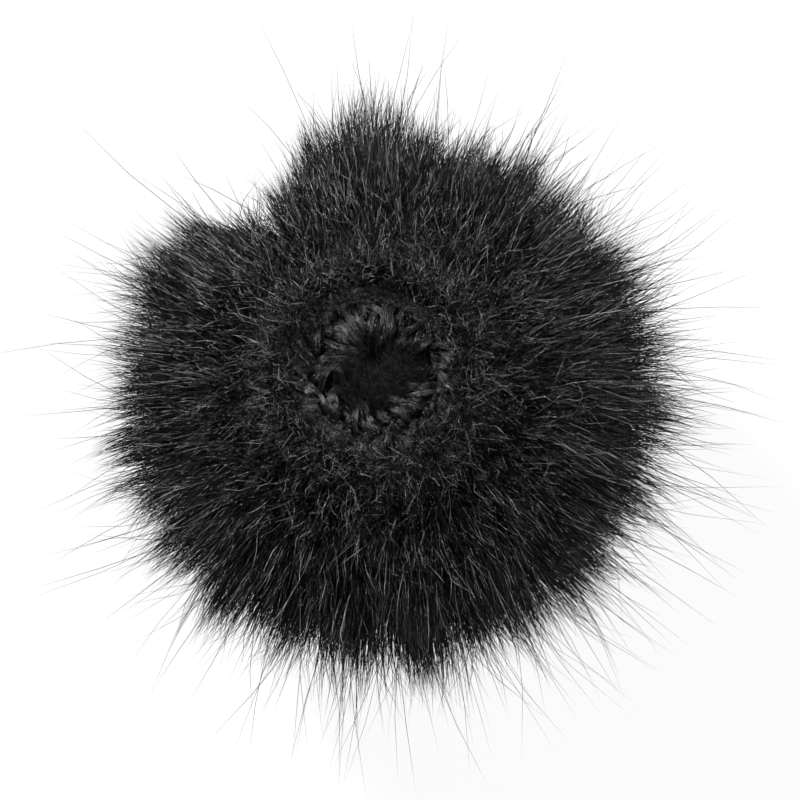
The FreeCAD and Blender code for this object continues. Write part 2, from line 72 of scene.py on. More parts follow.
bpy.ops.object.mode_set(mode="OBJECT")
bpy.ops.mesh.primitive_cylinder_add(
    vertices=64, radius=bore_radius, depth=bore_depth, location=(0, 0, -bore_depth / 2)
)
cutter = bpy.context.object
bpy.context.view_layer.objects.active = foam
hole = foam.modifiers.new("bore", "BOOLEAN")
hole.operation, hole.object = "DIFFERENCE", cutter
bpy.ops.object.modifier_apply(modifier="bore")
bpy.data.objects.remove(cutter)


def finish_soft(piece, voxel, grain, depth):
    """Remeshes a soft piece evenly and roughens it with a fine cloud pattern, as real geometry."""
    bpy.ops.object.select_all(action="DESELECT")
    piece.select_set(True)
    bpy.context.view_layer.objects.active = piece
    even = piece.modifiers.new("even", "REMESH")
    even.mode, even.voxel_size, even.use_smooth_shade = "VOXEL", voxel, True
    bpy.ops.object.modifier_apply(modifier="even")
    relaxed = piece.modifiers.new("relaxed", "SMOOTH")
    relaxed.factor, relaxed.iterations = 0.5, 3
    bpy.ops.object.modifier_apply(modifier="relaxed")
    cells = bpy.data.textures.new(piece.name + "_cells", "CLOUDS")
    cells.noise_scale, cells.noise_depth = grain, 1
    rough = piece.modifiers.new("rough", "DISPLACE")
    rough.texture, rough.strength, rough.mid_level = cells, depth, 0.5
    bpy.ops.object.modifier_apply(modifier="rough")


foam_voxel, cell_size, cell_depth = 0.3 * MM, 0.45 * MM, 0.16 * MM
finish_soft(foam, foam_voxel, cell_size, cell_depth)
foam_material = bpy.data.materials.new("black_open_cell_foam")
foam_material.use_nodes = True
nodes, links = foam_material.node_tree.nodes, foam_material.node_tree.links
skin = nodes["Principled BSDF"]
skin.inputs["Roughness"].default_value = 0.95
skin.inputs["Specular IOR Level"].default_value = 0.2
place = nodes.new("ShaderNodeTexCoord")
cells = nodes.new("ShaderNodeTexVoronoi")
cells.inputs["Scale"].default_value = 2600
# Painted shade: the cells are coloured darker where their bump is low, in the hollows.
ramp = nodes.new("ShaderNodeValToRGB")
ramp.color_ramp.elements[0].color = (0.004, 0.004, 0.0045, 1)
ramp.color_ramp.elements[1].position = 0.6
ramp.color_ramp.elements[1].color = (0.028, 0.028, 0.03, 1)
bump = nodes.new("ShaderNodeBump")
bump.inputs["Strength"].default_value = 0.6
bump.inputs["Distance"].default_value = 0.1 * MM
links.new(place.outputs["Object"], cells.inputs["Vector"])
links.new(cells.outputs["Distance"], ramp.inputs["Fac"])
links.new(ramp.outputs["Color"], skin.inputs["Base Color"])
links.new(cells.outputs["Distance"], bump.inputs["Height"])
links.new(bump.outputs["Normal"], skin.inputs["Normal"])
foam.data.materials.clear()
foam.data.materials.append(foam_material)
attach(foam, "root")
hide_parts("foam_core")

# Knit cover. The warp-knit ground of the pile fabric: a tube closed by the side seam, drawn into
# pleats at the crown and stretched over the foam. Black, matt, in fine ribs.
pleat_count = 11
seam_azimuth = math.radians(124)
cover_thickness = 0.6 * MM
mouth_cut = math.radians(35)
seam_pucker, seam_width, stitch_rhythm = 0.08 * MM, math.radians(3), 70
pleat_depth, pleats_begin, pleats_full = 0.22 * MM, 125, 170
bpy.ops.mesh.primitive_uv_sphere_add(
    segments=132, ring_count=66, radius=cover_radius, location=(0, 0, cover_middle)
)
cover = bpy.context.object
cover.name = "knit_cover"
bpy.ops.object.transform_apply(location=True)
cover.data.uv_layers[0].name = "OFBake"
for vertex in cover.data.vertices:
    x, y, z = vertex.co.x, vertex.co.y, vertex.co.z - cover_middle
    polar, azimuth = math.acos(max(-1, min(1, z / cover_radius))), math.atan2(y, x)
    from_seam = (azimuth - seam_azimuth + math.pi) % (2 * math.pi) - math.pi
    gathered = max(0, min(1, (math.degrees(polar) - pleats_begin) / (pleats_full - pleats_begin)))
    pucker = (1 + math.cos(stitch_rhythm * polar)) / 2
    sink = seam_pucker * math.exp(-((from_seam / seam_width) ** 2)) * pucker
    sink += pleat_depth * gathered * (0.5 + 0.5 * math.cos(pleat_count * azimuth))
    vertex.co = Vector((x, y, z)) * (1 - sink / cover_radius) + Vector((0, 0, cover_middle))
bpy.ops.object.mode_set(mode="EDIT")
bpy.ops.mesh.select_all(action="DESELECT")
bpy.ops.object.mode_set(mode="OBJECT")
for face in cover.data.polygons:
    face.select = face.center.z - cover_middle > cover_radius * math.cos(mouth_cut)
bpy.ops.object.mode_set(mode="EDIT")
bpy.ops.mesh.delete(type="FACE")
bpy.ops.object.mode_set(mode="OBJECT")
wall = cover.modifiers.new("wall", "SOLIDIFY")
wall.thickness, wall.offset = cover_thickness, -1
bpy.ops.object.modifier_apply(modifier="wall")
bpy.ops.object.shade_smooth()
knit_material = bpy.data.materials.new("black_warp_knit")
knit_material.use_nodes = True
nodes, links = knit_material.node_tree.nodes, knit_material.node_tree.links
skin = nodes["Principled BSDF"]
skin.inputs["Roughness"].default_value = 0.9
skin.inputs["Specular IOR Level"].default_value = 0.25
skin.inputs["Sheen Weight"].default_value = 0.15
place = nodes.new("ShaderNodeTexCoord")
wales = nodes.new("ShaderNodeTexWave")
wales.bands_direction = "DIAGONAL"
wales.inputs["Scale"].default_value = 900
wales.inputs["Distortion"].default_value = 1.5
courses = nodes.new("ShaderNodeTexWave")
courses.bands_direction = "Z"
courses.inputs["Scale"].default_value = 760
courses.inputs["Distortion"].default_value = 2.0
loops = nodes.new("ShaderNodeMath")
loops.operation = "MULTIPLY"
links.new(wales.outputs["Fac"], loops.inputs[0])
links.new(courses.outputs["Fac"], loops.inputs[1])
yarn = nodes.new("ShaderNodeTexNoise")
yarn.inputs["Scale"].default_value = 5200
# Painted shade: the knit is coloured darker where its bump is low, in the hollows between the loops, on top
# of a random tone in the yarn.
ramp = nodes.new("ShaderNodeValToRGB")
ramp.color_ramp.elements[0].color = (0.004, 0.004, 0.004, 1)
ramp.color_ramp.elements[1].color = (0.03, 0.03, 0.031, 1)
both = nodes.new("ShaderNodeMath")
both.operation = "ADD"
bump = nodes.new("ShaderNodeBump")
bump.inputs["Strength"].default_value = 0.7
bump.inputs["Distance"].default_value = 0.08 * MM
links.new(place.outputs["Object"], wales.inputs["Vector"])
links.new(place.outputs["Object"], courses.inputs["Vector"])
links.new(place.outputs["Object"], yarn.inputs["Vector"])
links.new(loops.outputs["Value"], both.inputs[0])
links.new(yarn.outputs["Fac"], both.inputs[1])
links.new(both.outputs["Value"], ramp.inputs["Fac"])
links.new(ramp.outputs["Color"], skin.inputs["Base Color"])
links.new(both.outputs["Value"], bump.inputs["Height"])
links.new(bump.outputs["Normal"], skin.inputs["Normal"])
cover.data.materials.clear()
cover.data.materials.append(knit_material)
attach(cover, "root")
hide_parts("knit_backing")

# Seam allowances, crown pleats and rolled edge. The same cloth where it is turned in at the side
# seam, tied off at the crown and rolled round the elastic at the mouth.
cloth_grain, cloth_nap = 0.5 * MM, 0.09 * MM


def cloth_copy(node, name, voxel):
    """A piece of cloth worked up from its CAD solid: evenly remeshed, softened and napped."""
    piece = bpy.data.objects.new(name, frame["nodes"][node].data.copy())
    bpy.context.scene.collection.objects.link(piece)
    bpy.ops.object.select_all(action="DESELECT")
    piece.select_set(True)
    bpy.context.view_layer.objects.active = piece
    bpy.ops.object.mode_set(mode="EDIT")
    bpy.ops.mesh.select_all(action="SELECT")
    bpy.ops.mesh.remove_doubles(threshold=0.001 * MM)
    bpy.ops.object.mode_set(mode="OBJECT")
    finish_soft(piece, voxel, cloth_grain, cloth_nap)
    piece.data.materials.clear()
    piece.data.materials.append(knit_material)
    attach(piece, "root")
    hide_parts(node)
    return piece


allowances = [
    cloth_copy("side_seam_allowance_left", "seam_allowance_left", 0.12 * MM),
    cloth_copy("side_seam_allowance_right", "seam_allowance_right", 0.12 * MM),
]
crown = cloth_copy("crown_gather", "crown_pleats", 0.1 * MM)
rolled_edge = cloth_copy("mouth_hem", "rolled_edge", 0.14 * MM)

# Thread and elastic. Black polyester thread in the side seam, the hem and the crown tie, and a
# covered cord elastic knotted inside the rolled edge.
def twisted_material(name, dark, light, twists, roughness):
    """Twisted or covered yarn: slanting bands, with painted shade making the grooves darker and the plies
    lighter.
    """
    material = bpy.data.materials.new(name)
    material.use_nodes = True
    nodes, links = material.node_tree.nodes, material.node_tree.links
    skin = nodes["Principled BSDF"]
    skin.inputs["Roughness"].default_value = roughness
    place = nodes.new("ShaderNodeTexCoord")
    plies = nodes.new("ShaderNodeTexWave")
    plies.bands_direction = "DIAGONAL"
    plies.inputs["Scale"].default_value = twists
    plies.inputs["Distortion"].default_value = 1.5
    ramp = nodes.new("ShaderNodeValToRGB")
    ramp.color_ramp.elements[0].color = (*dark, 1)
    ramp.color_ramp.elements[1].color = (*light, 1)
    bump = nodes.new("ShaderNodeBump")
    bump.inputs["Strength"].default_value = 0.8
    bump.inputs["Distance"].default_value = 0.04 * MM
    links.new(place.outputs["Object"], plies.inputs["Vector"])
    links.new(plies.outputs["Fac"], ramp.inputs["Fac"])
    links.new(ramp.outputs["Color"], skin.inputs["Base Color"])
    links.new(plies.outputs["Fac"], bump.inputs["Height"])
    links.new(bump.outputs["Normal"], skin.inputs["Normal"])
    return material


thread_material = twisted_material(
    "black_sewing_thread", (0.008, 0.008, 0.008), (0.05, 0.05, 0.052), 1800, 0.55
)
elastic_material = twisted_material(
    "black_covered_elastic", (0.008, 0.008, 0.008), (0.04, 0.04, 0.041), 900, 0.7
)
for node, material in (
    ("side_seam_stitches", thread_material),
    ("hem_stitches", thread_material),
    ("crown_gather_thread", thread_material),
    ("crown_thread_knot", thread_material),
    ("mouth_elastic", elastic_material),
    ("elastic_knot", elastic_material),
):
    frame["nodes"][node].data.materials.clear()
    frame["nodes"][node].data.materials.append(material)

# Guard hair. Long tapering acrylic hairs, nearly black, knitted into the cover and left uncut.
# They stand out from the ball, lean away from the mouth and hang together in wisps and locks,
# parted along the side seam. All hair is worked out in millimetres until it becomes a mesh.
ball_radius = cover_radius / MM
ball_middle = np.array([0.0, 0.0, cover_middle / MM])
roll_radius, roll_ring = 1.1, 4.1  # the rolled edge: its own radius, and that of the ring it makes
floor_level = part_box("guard_hair_pile")[0].z / MM
parting_azimuths = np.radians((30, 78, 163, 204, 236, 284, 326))
step_azimuth = math.radians(42)
roll_polar = math.radians(37)
mouth_edge = math.radians(20)
crown_edge = math.radians(177)
# Where the pile is shorter or longer than the rest: direction and width in degrees, share of the length.
length_changes = ((114, 9, -0.28), (58, 23, -0.21), (12, 18, -0.07), (96, 8, 0.08), (234, 12, 0.08))


def normalise(vectors):
    """Vectors of length one."""
    return vectors / np.maximum(np.linalg.norm(vectors, axis=-1, keepdims=True), 1e-9)


def angle_from(azimuth, line):
    """The turn from a line to an azimuth, between half a turn back and half a turn on."""
    return (azimuth - line + np.pi) % (2 * np.pi) - np.pi


def scatter(count, low_polar, high_polar, rng):
    """Places spread evenly over a zone of the ball."""
    upright = rng.uniform(math.cos(high_polar), math.cos(low_polar), count)
    return np.arccos(upright), rng.uniform(0, 2 * np.pi, count)


def directions(polar, azimuth):
    """At each place, the ways out of the ball, away from the mouth and round the bore."""
    outward = np.stack(
        [np.sin(polar) * np.cos(azimuth), np.sin(polar) * np.sin(azimuth), np.cos(polar)], 1
    )
    backward = np.stack(
        [np.cos(polar) * np.cos(azimuth), np.cos(polar) * np.sin(azimuth), -np.sin(polar)], 1
    )
    sideways = np.stack([-np.sin(azimuth), np.cos(azimuth), np.zeros(len(azimuth))], 1)
    return outward, backward, sideways


def roots(polar, azimuth):
    """Where hair starts: on the rolled edge close to the mouth, just under the cloth from there on."""
    outward = directions(polar, azimuth)[0]
    on_ball = ball_middle + outward * (ball_radius - 0.15)
    roll_turn = np.radians(np.interp(np.degrees(polar), (20, 37), (68, 8)))
    reach = roll_ring + roll_radius * np.cos(roll_turn)
    on_roll = np.stack(
        [reach * np.cos(azimuth), reach * np.sin(azimuth), roll_radius * (np.sin(roll_turn) - 1)], 1
    )
    return np.where((polar < roll_polar)[:, None], on_roll, on_ball)


def lie(polar, azimuth):
    """How the pile lies at a place: lean away from the mouth, sideways lean, and share of full length."""
    from_seam = angle_from(azimuth, seam_azimuth)
    seam_pull = np.exp(-((from_seam / math.radians(17)) ** 2))
    from_step = angle_from(azimuth, step_azimuth)
    step_pull = np.exp(-((from_step / math.radians(15)) ** 2))
    degrees = np.degrees(polar)
    open_low = np.interp(degrees, (40, 85), (0.05, 1.0))
    side = np.where(from_seam > 0, 0.75, -0.1) * seam_pull * open_low
    side += np.where(from_step < 0, -0.3, 0.0) * step_pull * open_low
    length = 1 - 0.3 * np.exp(-((from_seam / math.radians(10)) ** 2)) * open_low
    for line in parting_azimuths:
        away = angle_from(azimuth, line)
        near = np.exp(-((away / math.radians(6)) ** 2))
        side += 0.02 * np.sign(away) * near
        length -= 0.03 * near
    side += 0.06 * np.sin(2 * azimuth + 0.6) + 0.03 * np.sin(5 * azimuth + 2.0 + 2 * polar)
    length += 0.05 * np.cos(azimuth - math.radians(330)) + 0.02 * np.sin(7 * azimuth + 1.0)
    for middle, width, change in length_changes:
        length += change * np.exp(-((angle_from(azimuth, math.radians(middle)) / math.radians(width)) ** 2))
    length *= np.interp(degrees, (20, 37, 55, 75), (0.34, 0.5, 0.7, 1.0))
    lean = np.interp(degrees, (20, 34, 48, 60, 75, 90, 180), (0.15, -0.34, -0.45, -0.34, -0.1, 0.28, 0.3))
    return lean, side, length


def grow(polar, azimuth, length, spread, bend, rng, points, curl_share=1.0):
    """Centre lines of hairs rooted on the cover, as an array of hairs by points by three."""
    outward, backward, sideways = directions(polar, azimuth)
    lean, side, share = lie(polar, azimuth)
    degrees = np.degrees(polar)
    looseness = spread * np.interp(degrees, (20, 45, 60, 90), (1.8, 1.6, 1.3, 1.0))
    lean = lean + rng.normal(0, 1, len(polar)) * looseness
    side = side + rng.normal(0, 1, len(polar)) * looseness
    start = normalise(outward + lean[:, None] * backward + side[:, None] * sideways)
    reach = (length * share)[:, None, None]
    along = np.linspace(0, 1, points)[None, :, None]
    back = np.interp(degrees, (24, 60, 90), (0.0, 0.02, 0.16))
    turn = bend[:, None] * (back[:, None] * backward + np.array([0, 0, -0.12]))
    curl = curl_share * np.interp(degrees, (20, 45, 70, 90), (0.22, 0.22, 0.13, 0.09))
    turn = turn + rng.normal(0, 1, (len(polar), 3)) * curl[:, None]
    crimp = np.interp(degrees, (20, 50, 66, 84), (0.14, 0.14, 0.09, 0.0))[:, None, None]
    wave = rng.normal(0, 1, (len(polar), points, 3)) * crimp
    wave[:, 0] = 0
    return (
        roots(polar, azimuth)[:, None, :]
        + reach * (start[:, None, :] * along + turn[:, None, :] * along ** 2) + wave
    )


def gather(lines, guides, near, pull, power):
    """Draws each hair towards its guide, more towards the tip."""
    along = np.linspace(0, 1, lines.shape[1])[None, :, None] ** power
    return lines + (guides[near] - lines) * along * pull[:, None, None]


def nearest(points, centres):
    """The number of the centre closest to each point."""
    tree = kdtree.KDTree(len(centres))
    for number, centre in enumerate(centres):
        tree.insert(centre, number)
    tree.balance()
    return np.array([tree.find(p)[1] for p in points])


def settle(lines):
    """Hairs under the ball bend along the floor instead of passing through it."""
    bend_height = 0.9
    over = lines[..., 2] - floor_level
    below = np.maximum(bend_height - over, 0)
    radial = normalise(lines[..., :2])
    lines[..., :2] += radial * below[..., None] * 0.9
    bent = bend_height * np.exp((over - bend_height) / bend_height)
    lines[..., 2] = floor_level + np.where(over < bend_height, bent, over)
    return lines


def comb(lines, azimuth, polar):
    """Draws the outer pile together into pointed locks, the same from the top row to the bottom."""
    drift = 0.05 * np.sin(3 * polar + 2 * azimuth)
    outer = np.interp(np.degrees(polar), (52, 78), (0, 1))
    away = angle_from((azimuth + drift)[:, None], lock_lines[None, :])
    closest = np.argmin(np.abs(away), 1)
    away = away[np.arange(len(azimuth)), closest]
    strength = lock_strength[closest] * outer
    along = np.linspace(0, 1, lines.shape[1]) ** 1.6
    turn = -(away * strength)[:, None] * along[None, :]
    x, y = lines[..., 0].copy(), lines[..., 1].copy()
    lines[..., 0] = x * np.cos(turn) - y * np.sin(turn)
    lines[..., 1] = x * np.sin(turn) + y * np.cos(turn)
    reach = 1 + (lock_reach[closest] - 1) * outer
    return lines[:, :1] + (lines - lines[:, :1]) * reach[:, None, None]


def hair_piece(name, lines, radius, taper, shade, material):
    """Hairs as closed three-sided tapering rods in one mesh. shade, from 0 to 1, picks each hair's colour."""
    count, points = lines.shape[:2]
    sides, strip = 3, 1 / 48
    along = normalise(np.gradient(lines, axis=1))
    across = normalise(np.cross(along, np.array([0.31, 0.52, 0.79])))
    third = np.cross(along, across)
    turn = shade * 40
    rings = []
    for side in range(sides):
        angle = (turn + 2 * np.pi * side / sides)[:, None, None]
        rings.append(np.cos(angle) * across + np.sin(angle) * third)
    width = radius[:, None] * taper[None, :]
    rims = np.stack(rings, 2)[:, :-1] * width[:, :-1, None, None] + lines[:, :-1, None, :]
    vertices = np.concatenate([rims.reshape(count, -1, 3), lines[:, -1:, :]], 1) * MM
    faces, places = [], []
    for ring in range(points - 2):
        for side in range(sides):
            a, b = ring * sides + side, ring * sides + (side + 1) % sides
            c, d = b + sides, a + sides
            u0, u1 = side * strip / sides, (side + 1) * strip / sides
            v0, v1 = ring / (points - 1), (ring + 1) / (points - 1)
            faces += [(a, b, c), (a, c, d)]
            places += [((u0, v0), (u1, v0), (u1, v1)), ((u0, v0), (u1, v1), (u0, v1))]
    tip, last = (points - 1) * sides, (points - 2) * sides
    for side in range(sides):
        u0, u1 = side * strip / sides, (side + 1) * strip / sides
        v0 = (points - 2) / (points - 1)
        faces.append((last + side, last + (side + 1) % sides, tip))
        places.append(((u0, v0), (u1, v0), ((u0 + u1) / 2, 1)))
    faces.append((0, 2, 1))
    places.append(((0, 0), (strip, 0), (strip / 2, 0.02)))
    faces = np.array(faces)[None] + (np.arange(count) * vertices.shape[1])[:, None, None]
    places = np.broadcast_to(np.array(places)[None], (count, len(places), 3, 2)).copy()
    places[..., 0] += (0.01 + shade * 0.96)[:, None, None]
    mesh = bpy.data.meshes.new(name)
    mesh.vertices.add(count * vertices.shape[1])
    mesh.vertices.foreach_set("co", vertices.astype(np.float32).ravel())
    total = faces.shape[0] * faces.shape[1]
    mesh.loops.add(total * 3)
    mesh.loops.foreach_set("vertex_index", faces.astype(np.int32).ravel())
    mesh.polygons.add(total)
    mesh.polygons.foreach_set("loop_start", np.arange(0, total * 3, 3, dtype=np.int32))
    mesh.polygons.foreach_set("use_smooth", np.ones(total, bool))
    mesh.uv_layers.new(name="OFBake").data.foreach_set("uv", places.astype(np.float32).ravel())
    mesh.update(calc_edges=True)
    mesh.materials.append(material)
    piece = bpy.data.objects.new(name, mesh)
    bpy.context.scene.collection.objects.link(piece)
    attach(piece, "root")
    return piece


def hair_material(name, colours, root_shade_share, roughness, shine, painted_glints=(1.0, 1.0)):
    """Hair coloured across the map by its shade and along it from root to tip, with painted shade making it
    darker at the root.

    painted_glints gives the dullest and the brightest share of the colour along a crimped hair: painted
    highlights where the light comes and goes about every half millimetre."""
    material = bpy.data.materials.new(name)
    material.use_nodes = True
    nodes, links = material.node_tree.nodes, material.node_tree.links
    skin = nodes["Principled BSDF"]
    place = nodes.new("ShaderNodeUVMap")
    place.uv_map = "OFBake"
    parts = nodes.new("ShaderNodeSeparateXYZ")
    ramp = nodes.new("ShaderNodeValToRGB")
    ramp.color_ramp.elements[0].position = colours[0][0]
    ramp.color_ramp.elements[0].color = (*colours[0][1], 1)
    ramp.color_ramp.elements[1].position = colours[-1][0]
    ramp.color_ramp.elements[1].color = (*colours[-1][1], 1)
    for position, colour in colours[1:-1]:
        ramp.color_ramp.elements.new(position).color = (*colour, 1)
    # Painted shade: the colour is darker towards the root, deep in the pile.
    painted_root_shade = nodes.new("ShaderNodeMapRange")
    painted_root_shade.inputs["To Min"].default_value = root_shade_share
    painted_root_shade.inputs["To Max"].default_value = 1.0
    mix = nodes.new("ShaderNodeMix")
    mix.data_type = "RGBA"
    mix.blend_type = "MULTIPLY"
    mix.inputs["Factor"].default_value = 1.0
    links.new(place.outputs["UV"], parts.inputs["Vector"])
    links.new(parts.outputs["X"], ramp.inputs["Fac"])
    links.new(parts.outputs["Y"], painted_root_shade.inputs["Value"])
    links.new(ramp.outputs["Color"], mix.inputs["A"])
    links.new(mix.outputs["Result"], skin.inputs["Base Color"])
    # Painted glints: the colour is made lighter and darker in short spots along each hair, standing in for
    # its shine.
    stretched = nodes.new("ShaderNodeVectorMath")
    stretched.operation = "MULTIPLY"
    stretched.inputs[1].default_value = (500, 16, 1)
    painted_glint_noise = nodes.new("ShaderNodeTexNoise")
    painted_glint_noise.inputs["Scale"].default_value = 1.0
    painted_glint_noise.inputs["Detail"].default_value = 1.0
    glints = nodes.new("ShaderNodeMapRange")
    glints.inputs["From Min"].default_value, glints.inputs["From Max"].default_value = 0.42, 0.62
    glints.inputs["To Min"].default_value, glints.inputs["To Max"].default_value = painted_glints
    root_shade_and_glints = nodes.new("ShaderNodeMath")
    root_shade_and_glints.operation = "MULTIPLY"
    links.new(place.outputs["UV"], stretched.inputs[0])
    links.new(stretched.outputs["Vector"], painted_glint_noise.inputs["Vector"])
    links.new(painted_glint_noise.outputs["Fac"], glints.inputs["Value"])
    links.new(painted_root_shade.outputs["Result"], root_shade_and_glints.inputs[0])
    links.new(glints.outputs["Result"], root_shade_and_glints.inputs[1])
    links.new(root_shade_and_glints.outputs["Value"], mix.inputs["B"])
    skin.inputs["Specular IOR Level"].default_value = shine
    skin.inputs["Roughness"].default_value = roughness
    skin.inputs["IOR"].default_value = 1.6
    return material


# The ramp gives each hair a tone at random; its lightest end is also a painted shine, and glints are painted
# along the hairs.
guard_material = hair_material(
    "black_guard_hair",
    [(0.0, (0.0012, 0.0012, 0.0013)), (0.6, (0.003, 0.003, 0.0033)), (0.84, (0.02, 0.02, 0.0205)),
     (1.0, (0.19, 0.19, 0.195))],
    0.25, 0.26, 0.2, (0.1, 2.4),
)
guard_points = 5
all_round_count, round_side_count = 38500, 9000
wisp_count, lock_count, line_count = 6000, 620, 52
guard_length = 7.1
longest_reach = np.array([23.0, 23.0, 21.0])
far_stray, near_stray = 0.95, 0.63  # draws above which a hair strays far out, or a little

rng = np.random.default_rng(3)
lock_lines = 2 * np.pi * (np.arange(line_count) + rng.uniform(-0.42, 0.42, line_count)) / line_count
lock_strength = rng.uniform(0.2, 0.8, line_count)
lock_reach = rng.normal(1.0, 0.04, line_count)
lock_polar, lock_azimuth = scatter(lock_count, mouth_edge, crown_edge, rng)
lock_length = guard_length * rng.normal(1.02, 0.1, lock_count)
locks = grow(lock_polar, lock_azimuth, lock_length, 0.10, np.ones(lock_count), rng, guard_points)
wisp_polar, wisp_azimuth = scatter(wisp_count, mouth_edge, crown_edge, rng)
wisp_length = guard_length * rng.normal(1.0, 0.15, wisp_count)
wisps = grow(wisp_polar, wisp_azimuth, wisp_length, 0.15, np.ones(wisp_count), rng, guard_points)
wisp_pull = rng.uniform(0.5, 0.95, wisp_count) * np.interp(np.degrees(wisp_polar), (35, 80), (0.2, 1))
wisps = gather(wisps, locks, nearest(wisps[:, 0], locks[:, 0]), wisp_pull, 1.4)
everywhere = scatter(all_round_count, mouth_edge, crown_edge, rng)
round_side = scatter(round_side_count, math.radians(55), math.radians(112), rng)
polar = np.concatenate([everywhere[0], round_side[0]])
azimuth = np.concatenate([everywhere[1], round_side[1]])
guard_count = len(polar)
stray = rng.uniform(0, 1, guard_count) * np.where(polar < math.radians(62), near_stray, 1)
strays_far = stray > far_stray
strays_little = (stray > near_stray) & (stray <= far_stray)
length = guard_length * rng.normal(0.86, 0.15, guard_count)
longer = 1 + 0.15 * np.cos(azimuth - math.radians(330))
length *= np.where(strays_far, longer * rng.uniform(1.3, 1.75, guard_count), 1)
length *= np.where(strays_little, longer * rng.uniform(1.1, 1.5, guard_count), 1)
hairs = grow(polar, azimuth, length, 0.16, rng.uniform(0.4, 1.4, guard_count), rng, guard_points,
             np.where(strays_far, 2.8, 1.0))
pull = np.where(strays_far, rng.uniform(0, 0.3, guard_count), rng.uniform(0.4, 0.9, guard_count))
pull *= np.interp(np.degrees(polar), (35, 80), (0.15, 1))
hairs = gather(hairs, wisps, nearest(hairs[:, 0], wisps[:, 0]), pull, 1.3)
hairs = settle(comb(hairs, azimuth, polar))
from_middle = (hairs - ball_middle) / longest_reach
shorten = np.minimum(1, 1 / np.linalg.norm(from_middle, axis=-1).max(1)) ** 1.5
hairs = hairs[:, :1] + (hairs - hairs[:, :1]) * shorten[:, None, None]
thickness = np.where(strays_far, 0.019, 0.025) * rng.uniform(0.8, 1.2, guard_count)
thickness *= np.interp(np.degrees(polar), (50, 75), (0.8, 1))
guard_taper = np.array([0.9, 1.0, 0.95, 0.75, 0.0])
# Hairs rooted farther round the side of the ball draw darker colours: painted shade on the sides.
shade = rng.uniform(0, 1, guard_count) ** np.interp(np.degrees(polar), (55, 80), (1, 2.4))
bay_edges = np.sort(np.append(parting_azimuths, seam_azimuth))
bay = np.searchsorted(bay_edges, azimuth % (2 * np.pi)) % len(bay_edges)
for number in range(len(bay_edges)):
    chosen = bay == number
    piece = hair_piece(
        f"guard_hair_bay_{number + 1}", hairs[chosen], thickness[chosen], guard_taper,
        shade[chosen], guard_material,
    )
    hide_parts("guard_hair_pile")

# Nap round the mouth. The same hair where the scissors took it down on the way to the mouth: shorter,
# thinner and crimped, standing up from the rolled edge and lying over it.
wide_nap_count, close_nap_count, nap_points = 7800, 3600, 6
nap_count = wide_nap_count + close_nap_count
polar, azimuth = np.concatenate(
    [scatter(wide_nap_count, math.radians(22), math.radians(68), rng),
     scatter(close_nap_count, mouth_edge, math.radians(38), rng)], 1
)
length = guard_length * rng.normal(0.82, 0.14, nap_count)
nap = settle(grow(polar, azimuth, length, 0.2, rng.uniform(0.4, 1.4, nap_count), rng, nap_points))
thickness = rng.uniform(0.014, 0.021, nap_count)
nap_taper = np.array([0.9, 1.0, 1.0, 0.9, 0.7, 0.0])
# Slightly more of these hairs draw the light end of the ramp, with its painted shine.
shade = rng.uniform(0, 1, nap_count) ** 0.8
for number in range(2):
    chosen = (azimuth < np.pi) == (number == 0)
    piece = hair_piece(
        f"nap_round_mouth_{number + 1}", nap[chosen], thickness[chosen], nap_taper,
        shade[chosen], guard_material,
    )
    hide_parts("guard_hair_pile")

# Underfur. Short dense crimped hairs, blacker than the guard hairs, which fill the pile near the
# cover and keep the long hairs standing.
underfur_material = hair_material(
    "black_underfur",
    [(0.0, (0.002, 0.002, 0.0022)), (1.0, (0.007, 0.007, 0.0075))],
    0.4, 0.5, 0.2,
)
underfur_count, underfur_points = 11500, 4
rng = np.random.default_rng(5)
polar, azimuth = scatter(underfur_count, mouth_edge, crown_edge, rng)
underfur_length = 4.3
length = rng.normal(underfur_length, 0.6, underfur_count)
underfur = grow(polar, azimuth, length, 0.3, np.ones(underfur_count), rng, underfur_points)
crimp = rng.normal(0, 0.22, underfur.shape)
crimp[:, 0] = 0
underfur = settle(underfur + crimp)
underfur = gather(underfur, wisps[:, :underfur_points], nearest(underfur[:, 0], wisps[:, 0]),
                  rng.uniform(0, 0.3, underfur_count), 1.0)
thickness = rng.uniform(0.024, 0.036, underfur_count)
shade = rng.uniform(0, 1, underfur_count)
underfur_taper = np.array([1.0, 0.95, 0.7, 0.0])
third_of_ball = np.floor(azimuth / (2 * np.pi) * 3).astype(int)
for number in range(3):
    chosen = third_of_ball == number
    piece = hair_piece(
        f"underfur_third_{number + 1}", underfur[chosen], thickness[chosen], underfur_taper,
        shade[chosen], underfur_material,
    )
    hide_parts("underfur_pile")

# Throat fuzz. Short crimped pile on the turned-in edge, cropped with scissors, which all but closes
# the mouth when no microphone is in it.
fuzz_material = hair_material(
    "black_throat_fuzz",
    [(0.0, (0.002, 0.002, 0.0022)), (0.7, (0.0035, 0.0035, 0.0037)), (1.0, (0.013, 0.013, 0.0135))],
    0.4, 0.45, 0.08,
)
rng = np.random.default_rng(7)
fuzz_count, fuzz_points = 4600, 5
fuzz_azimuth = rng.uniform(0, 2 * np.pi, fuzz_count)
fuzz_root_level = rng.uniform(-3.4, -0.2, fuzz_count)
throat_reach = roll_ring - roll_radius
over_roll = np.clip((fuzz_root_level + roll_radius) / roll_radius, 0, 1)
fuzz_root_reach = throat_reach + 0.02 + 0.6 * over_roll ** 2
inward = -np.stack([np.cos(fuzz_azimuth), np.sin(fuzz_azimuth), np.zeros(fuzz_count)], 1)
fuzz_start = normalise(
    inward + rng.normal(0, 0.4, (fuzz_count, 3)) + np.array([0, 0, 0.25])
)
fuzz_length = rng.uniform(1.4, 3.8, fuzz_count) * (1 - 0.2 * np.sin(fuzz_azimuth))
